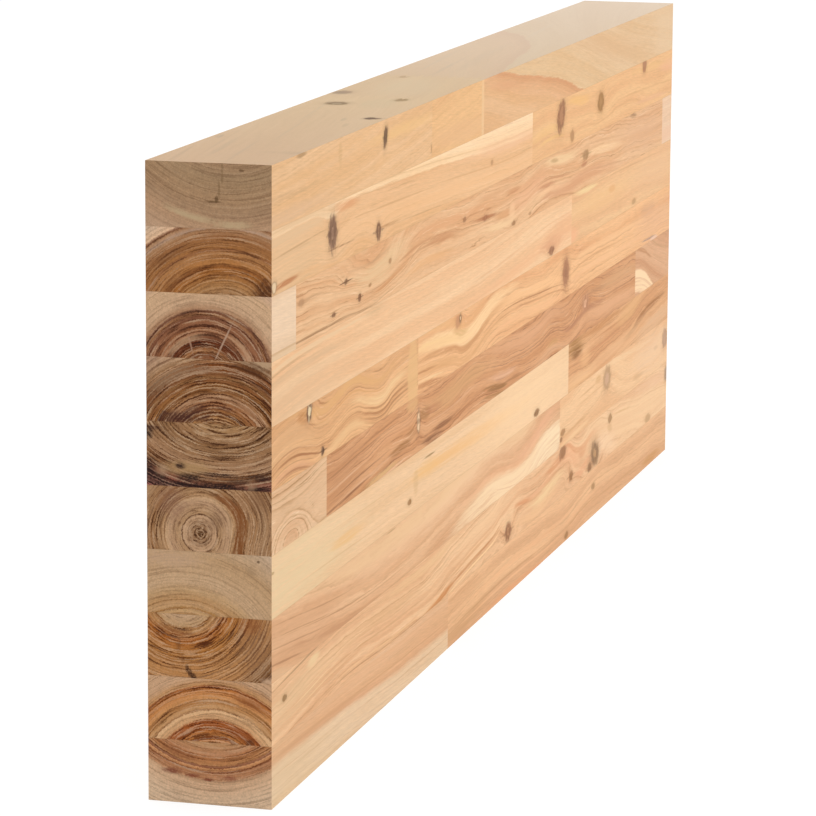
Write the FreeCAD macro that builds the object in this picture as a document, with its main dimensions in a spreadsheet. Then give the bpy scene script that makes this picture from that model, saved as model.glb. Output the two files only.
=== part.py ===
import FreeCAD, Part
import os
import Sketcher

# Glulam beam standing on its narrow edge: flat lamellas glued one on another, each made
# of boards that meet end to end in finger joints.
# Row frame: X along the beam with the near end at -X, Y across the width, Z up, and the
# origin in the middle of the underside.

doc = FreeCAD.newDocument("glulam_beam")

# Sizes in millimetres
SIZES = [
    ("beam_length", 1200, "near end to far end"),
    ("beam_width", 80, "width of every lamella"),
    ("lamella_thickness", 40, "planed thickness of every lamella"),
    ("lamella_count", 10, "lamellas in the height"),
    ("finger_length", 15, "root of a finger to its tip"),
    ("finger_pitch", 6.2, "spacing of the fingers across the width"),
    ("finger_tip", 1.0, "width of a finger at its tip"),
    ("least_shoulder", 2.5, "plain wood kept at both edges of a joint"),
    ("joint_1_near", 375, "lamella 1, first joint from the near end"),
    ("joint_1_gap", 146, "lamella 1, first joint to the second"),
    ("joint_2_far", 527, "lamella 2, joint from the far end"),
    ("joint_3_near", 51, "lamella 3, joint from the near end"),
    ("joint_3_far", 39, "lamella 3, joint from the far end"),
    ("joint_4_far", 390, "lamella 4, joint from the far end"),
    ("joint_5_near", 342, "lamella 5, joint from the near end"),
    ("joint_6_near", 119, "lamella 6, joint from the near end"),
    ("joint_6_far", 142, "lamella 6, joint from the far end"),
    ("joint_7_far", 394, "lamella 7, joint from the far end"),
    ("joint_8_far", 422, "lamella 8, joint from the far end"),
    ("joint_10_near", 429, "lamella 10, joint from the near end"),
]

sheet = doc.addObject("Spreadsheet::Sheet", "Sizes")
for row, (alias, value, note) in enumerate(SIZES, start=1):
    sheet.set("A%d" % row, alias)
    sheet.set("B%d" % row, str(value))
    sheet.set("C%d" % row, note)
    sheet.setAlias("B%d" % row, alias)
doc.recompute()

# Where the joints of each lamella lie, counted from the near end.
# Lamella 1 is the top one.
JOINTS = {
    1: ["Sizes.joint_1_near", "Sizes.joint_1_near + Sizes.joint_1_gap"],
    2: ["Sizes.beam_length - Sizes.joint_2_far"],
    3: ["Sizes.joint_3_near", "Sizes.beam_length - Sizes.joint_3_far"],
    4: ["Sizes.beam_length - Sizes.joint_4_far"],
    5: ["Sizes.joint_5_near"],
    6: ["Sizes.joint_6_near", "Sizes.beam_length - Sizes.joint_6_far"],
    7: ["Sizes.beam_length - Sizes.joint_7_far"],
    8: ["Sizes.beam_length - Sizes.joint_8_far"],
    9: [],
    10: ["Sizes.joint_10_near"],
}

# As many whole fingers as the width holds between its two shoulders
FINGERS = "floor((Sizes.beam_width - 2 * Sizes.least_shoulder) / Sizes.finger_pitch)"


def sketch_on_base(body, name):
    """An empty sketch on the body's own XY plane."""
    plane = [f for f in body.Origin.OriginFeatures if f.Role == "XY_Plane"][0]
    sketch = body.newObject("Sketcher::SketchObject", name)
    sketch.AttachmentSupport = (plane, [""])
    sketch.MapMode = "FlatFace"
    return sketch


def closed_outline(sketch, points):
    """Straight lines through the points and back to the first."""
    lines = []
    for k, (x, y) in enumerate(points):
        after = points[(k + 1) % len(points)]
        start = FreeCAD.Vector(x, y, 0)
        end = FreeCAD.Vector(after[0], after[1], 0)
        lines.append(sketch.addGeometry(Part.LineSegment(start, end), False))
    for k, line in enumerate(lines):
        after = lines[(k + 1) % len(lines)]
        sketch.addConstraint(Sketcher.Constraint("Coincident", line, 2, after, 1))
    return lines


def driven(sketch, kind, refs, value, expression):
    """A dimension of the sketch that follows the sheet."""
    index = sketch.addConstraint(Sketcher.Constraint(kind, *refs, value))
    sketch.setExpression("Constraints[%d]" % index, expression)


def board_blank(body, length):
    """The plain board between its joint lines, lying flat."""
    sketch = sketch_on_base(body, "outline")
    near, top, far, low = closed_outline(sketch, [(0, -40), (0, 40), (300, 40), (300, -40)])
    for line in (near, far):
        sketch.addConstraint(Sketcher.Constraint("Vertical", line))
    for line in (top, low):
        sketch.addConstraint(Sketcher.Constraint("Horizontal", line))
    sketch.addConstraint(Sketcher.Constraint("Symmetric", near, 1, near, 2, -1, 1))
    driven(sketch, "DistanceX", (top, 1, top, 2), 300, length)
    driven(sketch, "DistanceY", (near, 1, near, 2), 80, "Sizes.beam_width")
    pad = body.newObject("PartDesign::Pad", "board")
    pad.Profile = sketch
    pad.setExpression("Length", "Sizes.lamella_thickness")
    sketch.Visibility = False
    body.Tip = pad


def finger_row(body, kind, name, length=None):
    """One finger at the low edge of the board and the row of fingers made from it.

    As a Pad the row stands out of the far end; as a Pocket it is cut into the near end.
    """
    x = 0 if length is None else 300
    sketch = sketch_on_base(body, name + "_outline")
    outline = [(x, -37), (x, -32), (x + 15, -34), (x + 15, -35)]
    root, flank, tip, back = closed_outline(sketch, outline)
    for line in (root, tip):
        sketch.addConstraint(Sketcher.Constraint("Vertical", line))
    if length is None:
        sketch.addConstraint(Sketcher.Constraint("PointOnObject", root, 1, -2))
    else:
        driven(sketch, "DistanceX", (-1, 1, root, 1), 300, length)
    driven(sketch, "DistanceY", (root, 1, -1, 1), 37,
           "(" + FINGERS + " * Sizes.finger_pitch - Sizes.finger_tip) / 2")
    driven(sketch, "DistanceY", (root, 1, root, 2), 5, "Sizes.finger_pitch - Sizes.finger_tip")
    driven(sketch, "DistanceX", (root, 2, tip, 1), 15, "Sizes.finger_length")
    driven(sketch, "DistanceY", (tip, 2, tip, 1), 1, "Sizes.finger_tip")
    driven(sketch, "DistanceY", (root, 1, tip, 2), 2, "Sizes.finger_pitch / 2 - Sizes.finger_tip")
    finger = body.newObject("PartDesign::" + kind, name)
    finger.Profile = sketch
    finger.Reversed = kind == "Pocket"
    finger.setExpression("Length", "Sizes.lamella_thickness")
    row = body.newObject("PartDesign::LinearPattern", name + "_row")
    row.Originals = [finger]
    row.Direction = (sketch, ["V_Axis"])
    row.setExpression("Length", "(" + FINGERS + " - 1) * Sizes.finger_pitch")
    row.setExpression("Occurrences", FINGERS)
    sketch.Visibility = False
    body.Tip = row


# Boards, lamella by lamella from the top one down
boards = []
for lamella, joints in JOINTS.items():
    stations = ["0"] + joints + ["Sizes.beam_length"]
    for number in range(1, len(stations)):
        start = stations[number - 1]
        length = "(" + stations[number] + ") - (" + start + ")"
        label = "lamella_%02d_board_%d" % (lamella, number)
        body = doc.addObject("PartDesign::Body", label)
        body.Label = label
        body.setExpression("Placement.Base.x", start + " - Sizes.beam_length / 2")
        body.setExpression("Placement.Base.z",
                           "(Sizes.lamella_count - %d) * Sizes.lamella_thickness" % lamella)
        board_blank(body, length)
        if number > 1:
            finger_row(body, "Pocket", "slot")
        if number < len(stations) - 1:
            finger_row(body, "Pad", "finger", length)
        boards.append(body)

doc.recompute()

# Every feature is sound, and the boards together fill the beam exactly
for item in doc.Objects:
    if "Invalid" in item.State or "Error" in item.State:
        raise RuntimeError(item.Name + " did not build")
for body in boards:
    if body.Shape.isNull() or not body.Shape.isValid() or len(body.Shape.Solids) != 1:
        raise RuntimeError(body.Label + " is not one sound solid")
whole = sheet.beam_length * sheet.beam_width * sheet.lamella_thickness * sheet.lamella_count
built = sum(body.Shape.Volume for body in boards)
if abs(built - whole) > 1e-6 * whole:
    raise RuntimeError("the boards do not fill the beam")

os.makedirs("parts", exist_ok=True)
for body in boards:
    body.Shape.exportStep("parts/" + body.Label + ".step")
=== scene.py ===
import bpy
from mathutils import Matrix, Vector

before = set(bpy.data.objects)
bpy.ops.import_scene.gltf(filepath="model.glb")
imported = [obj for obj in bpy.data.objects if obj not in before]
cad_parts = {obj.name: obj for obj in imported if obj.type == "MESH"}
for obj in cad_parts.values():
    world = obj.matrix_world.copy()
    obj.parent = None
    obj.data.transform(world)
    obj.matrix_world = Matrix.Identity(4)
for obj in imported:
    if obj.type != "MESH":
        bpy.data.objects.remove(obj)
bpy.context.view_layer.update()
scene = bpy.context.scene

# Timber
# Every board is sawn from solid timber. The growth rings are worked out in the whole
# volume round the heart of the log that the board came from, so that sides, top and
# end grain of one board agree.
BEAM_LENGTH = 1200
BEAM_WIDTH = 80
LAMELLA = 40
BEAM_HEIGHT = 10 * LAMELLA


def put(tree, kind, *values, **settings):
    """A node with its settings, and its inputs either linked or set."""
    node = tree.nodes.new("ShaderNode" + kind)
    for name, value in settings.items():
        setattr(node, name, value)
    for k, value in enumerate(values):
        if isinstance(value, bpy.types.NodeSocket):
            tree.links.new(value, node.inputs[k])
        elif value is not None:
            node.inputs[k].default_value = value
    return node


def calc(tree, operation, *values):
    return put(tree, "Math", *values, operation=operation).outputs[0]


def times(tree, one, other):
    return calc(tree, "MULTIPLY", one, other)


def plus(tree, one, other):
    return calc(tree, "ADD", one, other)


def move(tree, operation, *values):
    node = put(tree, "VectorMath", *values, operation=operation)
    return node.outputs["Value" if operation in ("LENGTH", "DOT_PRODUCT") else "Vector"]


def blend(tree, factor, low, high, kind="MIX"):
    node = tree.nodes.new("ShaderNodeMix")
    node.data_type = "RGBA"
    node.blend_type = kind
    for slot, value in ((0, factor), (6, low), (7, high)):
        if isinstance(value, bpy.types.NodeSocket):
            tree.links.new(value, node.inputs[slot])
        else:
            node.inputs[slot].default_value = value
    return node.outputs[2]


def ramp(tree, value, start, end, low=0.0, high=1.0):
    """A soft step from low to high while value goes from start to end."""
    node = put(tree, "MapRange", value, start, end, low, high, interpolation_type="SMOOTHSTEP")
    return node.outputs[0]


def cloud(tree, vector, along, across, detail=2.0, rough=0.5):
    """Soft noise from about -1 to 1, its grain stretched along the beam."""
    vector = move(tree, "MULTIPLY", vector, (along, across, across))
    noise = put(tree, "TexNoise", vector, None, 1.0, detail, rough)
    return put(tree, "MapRange", noise.outputs[0], 0.25, 0.75, -1.0, 1.0, clamp=False).outputs[0]


def scale(tree, vector, factor):
    node = put(tree, "VectorMath", vector, None, None, factor, operation="SCALE")
    return node.outputs[0]


def level(tree, value, start, end, low, high):
    """A straight line from low to high while value goes from start to end."""
    return put(tree, "MapRange", value, start, end, low, high).outputs[0]


def shaded(tree, color, shade):
    grey = put(tree, "CombineXYZ", shade, shade, shade).outputs[0]
    return blend(tree, 1.0, color, grey, "MULTIPLY")


def group_of(name, inputs, outputs):
    """A node group, its sockets named under their kind."""
    tree = bpy.data.node_groups.new(name, "ShaderNodeTree")
    for way, sockets in (("INPUT", inputs), ("OUTPUT", outputs)):
        for kind, names in sockets.items():
            for socket in names.split(", "):
                tree.interface.new_socket(socket, in_out=way, socket_type="NodeSocket" + kind)
    given = tree.nodes.new("NodeGroupInput").outputs
    return tree, given, tree.nodes.new("NodeGroupOutput").inputs


rings, given, result = group_of(
    "Growth rings",
    {"Vector": "Place, Grain, Pith", "Float": "Oval, Swell, Ring width, Wave, Seed"},
    {"Float": "Radius, Tone, Late, Early, Hair, Fibre, Pores, Fray, Ragged, End"})
shift = put(rings, "CombineXYZ", given["Seed"], given["Seed"], given["Seed"]).outputs[0]
shift = scale(rings, shift, 97.0)
somewhere = move(rings, "ADD", given["Place"], shift)
flowing = move(rings, "ADD", given["Grain"], shift)
flatten = put(rings, "CombineXYZ", 0.0, given["Oval"], 1.0).outputs[0]
offset = move(rings, "MULTIPLY", move(rings, "SUBTRACT", given["Grain"], given["Pith"]), flatten)
parts = put(rings, "SeparateXYZ", given["Place"]).outputs

# Distance from the heart, with the rings wandering and rippling along the board. They
# run truer in the near end, and their edges are serrated in the end grain.
calm = ramp(rings, parts[0], -600.0, -430.0, 0.25, 1.0)
waves = times(rings, given["Wave"], calm)
waves = times(rings, cloud(rings, somewhere, 0.006, 0.018), waves)
ripple = cloud(rings, flowing, 0.022, 0.12, 4.0, 0.6)
radius = plus(rings, move(rings, "LENGTH", offset), given["Swell"])
radius = plus(rings, radius, waves)
normal = put(rings, "SeparateXYZ", put(rings, "NewGeometry").outputs["Normal"]).outputs[0]
end = calc(rings, "GREATER_THAN", calc(rings, "ABSOLUTE", normal), 0.5)
rough = calc(rings, "MINIMUM", plus(rings, times(rings, given["Wave"], 0.3), 0.3), 1.3)
rough = times(rings, rough, level(rings, end, 0.0, 1.0, 1.0, 0.4))
radius = plus(rings, radius, times(rings, ripple, rough))
serrated = cloud(rings, somewhere, 0.0, 0.75, 3.0, 0.7)
radius = plus(rings, radius, times(rings, times(rings, serrated, end), 0.5))

# A ring for each year, some wider and some darker: late wood at its outer edge, pale
# early wood at its inner one, and in the end grain fine lines between them.
count = calc(rings, "DIVIDE", radius, given["Ring width"])
year = put(rings, "CombineXYZ", count, given["Seed"]).outputs[0]
uneven = put(rings, "TexNoise", year, None, 0.35, 1.0).outputs[0]
count = plus(rings, count, times(rings, uneven, 2.4))
phase = calc(rings, "FRACT", count)
whole = plus(rings, calc(rings, "FLOOR", count), given["Seed"])
lively = put(rings, "TexWhiteNoise", None, whole, noise_dimensions="1D").outputs[0]
late = times(rings, ramp(rings, phase, 0.62, 0.92), ramp(rings, phase, 1.0, 0.95))
soft = times(rings, ramp(rings, phase, 0.1, 0.9), 0.3)
late = times(rings, calc(rings, "MAXIMUM", late, soft), ramp(rings, lively, 0.1, 0.9, 0.15, 1.0))
heading = move(rings, "NORMALIZE", offset)
around = put(rings, "SeparateXYZ", heading).outputs
close = level(rings, end, 0.0, 1.0, 1.0, 1.1)
fine = put(rings, "CombineXYZ", times(rings, radius, close),
           plus(rings, times(rings, parts[0], 0.007), times(rings, around[1], 1.6)),
           plus(rings, given["Seed"], times(rings, around[2], 1.6))).outputs[0]
fine = put(rings, "TexNoise", fine, None, 1.0, 2.0, 0.6).outputs[0]
fine = put(rings, "MapRange", fine, 0.25, 0.75, -1.0, 1.0, clamp=False).outputs[0]
broken = cloud(rings, flowing, 0.012, 0.14, 3.0, 0.6)
late = times(rings, late, ramp(rings, broken, -0.7, 0.5, 0.35, 1.15))
late = calc(rings, "MAXIMUM", late, times(rings, ramp(rings, fine, 0.05, 0.6), end))
early = times(rings, ramp(rings, phase, 0.0, 0.08), ramp(rings, phase, 0.34, 0.14))
early = times(rings, early, ramp(rings, lively, 0.3, 0.9, 0.0, 0.7))
early = calc(rings, "MAXIMUM", early, times(rings, ramp(rings, fine, -0.15, -0.7), end))

# The tone of the wood in broad bands and in figure along the grain
band = put(rings, "TexNoise", year, None, 0.3, 3.0, 0.6).outputs[0]
figure = cloud(rings, flowing, 0.008, 0.16, 3.0)
tone = plus(rings, times(rings, figure, 0.26), ramp(rings, band, 0.34, 0.66, -0.42, 0.42))
tone = plus(rings, tone, times(rings, cloud(rings, somewhere, 0.003, 0.02, 1.0), 0.2))
tone = ramp(rings, tone, -0.5, 0.5)

# Hair lines with the grain, saw fibres across it, pores and rays in the end grain, and
# the noise that frays the edges of knots and streaks
hair = times(rings, cloud(rings, flowing, 0.011, 0.62, 3.0, 0.65), 0.5)
hair = plus(rings, hair, times(rings, fine, 0.75))
sloping = plus(rings, parts[2], times(rings, parts[0], 0.11))
combed = put(rings, "CombineXYZ", parts[0], parts[1], sloping).outputs[0]
fibre = cloud(rings, combed, 0.06, 1.0, 4.0, 0.7)
pores = cloud(rings, somewhere, 0.9, 0.9, 3.0, 0.65)
outward = put(rings, "CombineXYZ", times(rings, radius, 0.3), given["Seed"]).outputs[0]
outward = move(rings, "ADD", scale(rings, heading, 22.0), outward)
rays = put(rings, "TexNoise", outward, None, 1.0, 2.0).outputs[0]
pores = plus(rings, pores, level(rings, rays, 0.25, 0.75, -0.45, 0.45))
fray = cloud(rings, somewhere, 0.03, 0.5, 4.0, 0.6)
ragged = cloud(rings, somewhere, 0.25, 0.25)

for name, value in (
        ("Radius", radius), ("Tone", tone), ("Late", late), ("Early", early), ("Hair", hair),
        ("Fibre", fibre), ("Pores", pores), ("Fray", fray), ("Ragged", ragged), ("End", end)):
    rings.links.new(value, result[name])

# The colour of the timber: late wood, hair lines and fibres along the boards, and rings
# with dark and pale edges, rays and pores in the end grain.
timber, given, result = group_of(
    "Timber",
    {"Float": "Tone, Late, Early, Hair, Fibre, Pores, End, Contrast, End contrast",
     "Color": "Pale, Tan, Line, End wood"},
    {"Color": "Color"})
long_face = blend(timber, given["Tone"], given["Pale"], given["Tan"])
depth = times(timber, given["Late"], given["Contrast"])
dark_hair = ramp(timber, given["Hair"], 0.25, 0.95)
dark_hair = times(timber, dark_hair, times(timber, given["Contrast"], 1.1))
depth = calc(timber, "MAXIMUM", depth, dark_hair)
long_face = blend(timber, depth, long_face, given["Line"])
fair = times(timber, given["Contrast"], 0.8)
fair = times(timber, ramp(timber, given["Hair"], -0.3, -1.0), fair)
milky = blend(timber, 0.35, given["Pale"], (1.0, 0.84, 0.62, 1))
long_face = blend(timber, fair, long_face, milky)
shade = level(timber, given["Fibre"], -1.0, 1.0, 0.89, 1.09)
shade = calc(timber, "SUBTRACT", shade, times(timber, given["Hair"], 0.045))
long_face = shaded(timber, long_face, shade)
bite = ramp(timber, put(timber, "RGBToBW", given["End wood"]).outputs[0], 0.15, 0.45, 1.15, 0.4)
bite = times(timber, bite, given["End contrast"])
dim = blend(timber, 1.0, given["End wood"], (0.22, 0.14, 0.09, 1), "MULTIPLY")
end_face = blend(timber, times(timber, given["Late"], bite), given["End wood"], dim)
bright = blend(timber, 0.45, given["End wood"], (0.80, 0.56, 0.36, 1))
end_face = blend(timber, times(timber, given["Early"], bite), end_face, bright)
shade = level(timber, given["Pores"], -1.4, 1.4, 0.76, 1.24)
end_face = shaded(timber, end_face, shade)
timber.links.new(blend(timber, given["End"], long_face, end_face), result["Color"])

# A knot is a branch that the tree grew round: a cone from the heart of the log out to
# the face, with the rings swollen round it and dark bark or resin at its rim.
knot_shape, given, result = group_of(
    "Knot shape",
    {"Vector": "Place, Centre, Axis, Face, Size", "Float": "Depth, Slant"},
    {"Float": "Distance, Inside", "Vector": "Flat"})
rel = move(knot_shape, "SUBTRACT", given["Place"], given["Centre"])
below = move(knot_shape, "DOT_PRODUCT", rel, given["Face"])
along = scale(knot_shape, given["Axis"], below)
flat = move(knot_shape, "SUBTRACT", rel, along)
parts = put(knot_shape, "SeparateXYZ", flat).outputs
rise = plus(knot_shape, parts[1], parts[2])
lean = calc(knot_shape, "SUBTRACT", parts[0], times(knot_shape, rise, given["Slant"]))
flat = put(knot_shape, "CombineXYZ", lean, parts[1], parts[2]).outputs[0]
narrow = plus(knot_shape, calc(knot_shape, "DIVIDE", below, given["Depth"]), 1.0)
narrow = calc(knot_shape, "MAXIMUM", narrow, 0.02)
scaled = move(knot_shape, "DIVIDE", flat, given["Size"])
reach = calc(knot_shape, "DIVIDE", move(knot_shape, "LENGTH", scaled), narrow)
knot_shape.links.new(reach, result["Distance"])
knot_shape.links.new(scaled, result["Flat"])
knot_shape.links.new(narrow, result["Inside"])

# The rings bulge round a knot, more on the boards' own grain than across it.
swelling, given, result = group_of(
    "Knot swelling",
    {"Float": "Swell, Push, Inside", "Vector": "Flat"},
    {"Float": "Swell"})
wide = move(swelling, "MULTIPLY", given["Flat"], (0.30, 0.48, 0.48))
bump = times(swelling, -1.0, move(swelling, "DOT_PRODUCT", wide, wide))
bump = calc(swelling, "POWER", 2.718, bump)
height = times(swelling, given["Push"], ramp(swelling, given["Inside"], 0.0, 0.6))
bump = times(swelling, bump, height)
swelling.links.new(plus(swelling, given["Swell"], bump), result["Swell"])

# A knot's own wood has a core, a rim, drying checks, a tail along the grain and a halo.
knot_wood, given, result = group_of(
    "Knot wood",
    {"Color": "Color, Knot, Core", "Vector": "Flat",
     "Float": "Distance, Fray, Ragged, Check, Core size, Strength, Tail, Tail strength, Halo"},
    {"Color": "Color"})
reach = plus(knot_wood, given["Distance"], times(knot_wood, given["Ragged"], 0.20))
halo = times(knot_wood, ramp(knot_wood, reach, 2.1, 0.9), given["Halo"])
darker = blend(knot_wood, 0.5, given["Color"], given["Knot"], "MULTIPLY")
color = blend(knot_wood, halo, given["Color"], darker)
body = times(knot_wood, ramp(knot_wood, reach, 1.22, 0.68), given["Strength"])
edge = plus(knot_wood, reach, times(knot_wood, given["Fray"], 0.12))
core = ramp(knot_wood, edge, given["Core size"], times(knot_wood, given["Core size"], 0.55))
core = calc(knot_wood, "MAXIMUM", core, times(knot_wood, given["Check"], 0.65))
inner = blend(knot_wood, core, given["Knot"], given["Core"])
color = blend(knot_wood, body, color, inner)
parts = put(knot_wood, "SeparateXYZ", given["Flat"]).outputs
height = calc(knot_wood, "ABSOLUTE", parts[1])
height = plus(knot_wood, height, calc(knot_wood, "ABSOLUTE", parts[2]))
height = plus(knot_wood, height, times(knot_wood, given["Ragged"], 0.10))
far = calc(knot_wood, "DIVIDE", calc(knot_wood, "ABSOLUTE", parts[0]), given["Tail"])
thin = plus(knot_wood, times(knot_wood, far, far), times(knot_wood, height, 3.0))
tail = times(knot_wood, ramp(knot_wood, thin, 1.0, 0.3), given["Tail strength"])
color = blend(knot_wood, tail, color, given["Knot"])
knot_wood.links.new(color, result["Color"])

# A streak is a stain of heartwood, mineral or sap that follows the grain for a while,
# or a stain in the end grain that follows the rings.
streak, given, result = group_of(
    "Streak",
    {"Color": "Color, Streak", "Vector": "Grain, Centre, Size",
     "Float": "Fray, Strength, Soft, Radius, Inner, Outer, End, On end, Hair, Turn"},
    {"Color": "Color"})
rel = move(streak, "SUBTRACT", given["Grain"], given["Centre"])
rel = put(streak, "VectorRotate", rel, rotation_type="X_AXIS")
streak.links.new(calc(streak, "RADIANS", times(streak, given["Turn"], -1.0)), rel.inputs["Angle"])
rel = move(streak, "DIVIDE", rel.outputs[0], given["Size"])
torn = times(streak, given["Fray"], times(streak, given["Soft"], 0.6))
reach = plus(streak, move(streak, "LENGTH", rel), torn)
mask = ramp(streak, reach, plus(streak, 1.0, given["Soft"]),
            calc(streak, "SUBTRACT", 1.0, given["Soft"]))
edge = plus(streak, given["Radius"], times(streak, given["Fray"], 0.5))
ringed = times(streak, ramp(streak, calc(streak, "SUBTRACT", edge, given["Inner"]), -0.5, 0.6),
              ramp(streak, calc(streak, "SUBTRACT", given["Outer"], edge), -0.5, 0.6))
mask = times(streak, mask, ramp(streak, given["Hair"], -0.8, 0.35, 0.4, 1.05))
wrong = calc(streak, "ABSOLUTE", calc(streak, "SUBTRACT", given["End"], given["On end"]))
mask = times(streak, times(streak, mask, ringed), calc(streak, "SUBTRACT", 1.0, wrong))
color = blend(streak, times(streak, mask, given["Strength"]), given["Color"], given["Streak"])
streak.links.new(color, result["Color"])


def paint(code):
    """A colour as it looks, written #rrggbb, as the shader wants it."""
    levels = [int(code[k:k + 2], 16) / 255 for k in (1, 3, 5)]
    bare = [v / 12.92 if v <= 0.04045 else ((v + 0.055) / 1.055) ** 2.4 for v in levels]
    return (*bare, 1.0)


def spot(s, across, z):
    """From the near end, from the front side face and from the underside, in millimetres."""
    return (s - BEAM_LENGTH / 2, across - BEAM_WIDTH / 2, z)


def use(tree, group, **inputs):
    """A node of a group with its named inputs, written with _ for a space."""
    node = tree.nodes.new("ShaderNodeGroup")
    node.node_tree = group
    for name, value in inputs.items():
        socket = node.inputs[name.replace("_", " ")]
        if isinstance(value, bpy.types.NodeSocket):
            tree.links.new(value, socket)
        else:
            socket.default_value = value
    return node.outputs


LAYER_REACH = 128


def layered(tree, radius, layers):
    """The colour of the wood from the heart outwards, as (distance, colour) pairs."""
    node = put(tree, "ValToRGB", level(tree, radius, 0.0, LAYER_REACH, 0.0, 1.0))
    stops = node.color_ramp.elements
    stops[0].position, stops[0].color = layers[0][0] / LAYER_REACH, paint(layers[0][1])
    stops[1].position, stops[1].color = layers[-1][0] / LAYER_REACH, paint(layers[-1][1])
    for distance, code in layers[1:-1]:
        stops.new(distance / LAYER_REACH).color = paint(code)
    return node.outputs[0]


def grain_height(points, s):
    """How far the grain lies above its level at the near end, at a station."""
    for (s0, h0), (s1, h1) in zip(points, points[1:]):
        if s0 <= s <= s1:
            return h0 + (h1 - h0) * (s - s0) / (s1 - s0)
    return points[0][1] if s < points[0][0] else points[-1][1]


EVERY_RING = (-500, 500)


def side_streak(s, z, long, high, shown, strength=0.7, soft=0.5):
    """A streak in the front side face, by its half length and half height."""
    return ((s, 0, z), (long, 22, high), shown, strength, soft, EVERY_RING, 0, 0)


def top_streak(s, across, long, wide, shown, strength=0.7, soft=0.5):
    return ((s, across, BEAM_HEIGHT), (long, wide, 9), shown, strength, soft, EVERY_RING, 0, 0)


def end_streak(across, z, wide, high, shown, strength=0.8, soft=0.4, years=EVERY_RING, turn=0):
    """A stain in the near end, turned if asked, or kept between two distances from the heart."""
    return ((0, across, z), (45, wide, high), shown, strength, soft, years, 1, turn)


KNOT_DEPTH = 45.0


def side_knot(s, z, long, high, color, **more):
    return dict(at=(s, 0, z), size=(long, high), color=color, **more)


def top_knot(s, across, long, wide, color, **more):
    return dict(at=(s, across, BEAM_HEIGHT), size=(long, wide), color=color, face="top", **more)


# Planed and unvarnished, with glue lines that show as a thin darker line
PLANED_ROUGHNESS = 0.6
PLANED_SHEEN = 0.12
GLUE_LINE = "#8c6844"
GLUE_LINE_SHOWS = 0.13
LEAST_ACROSS = 12
MOST_SLANTED = 1.6


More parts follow.
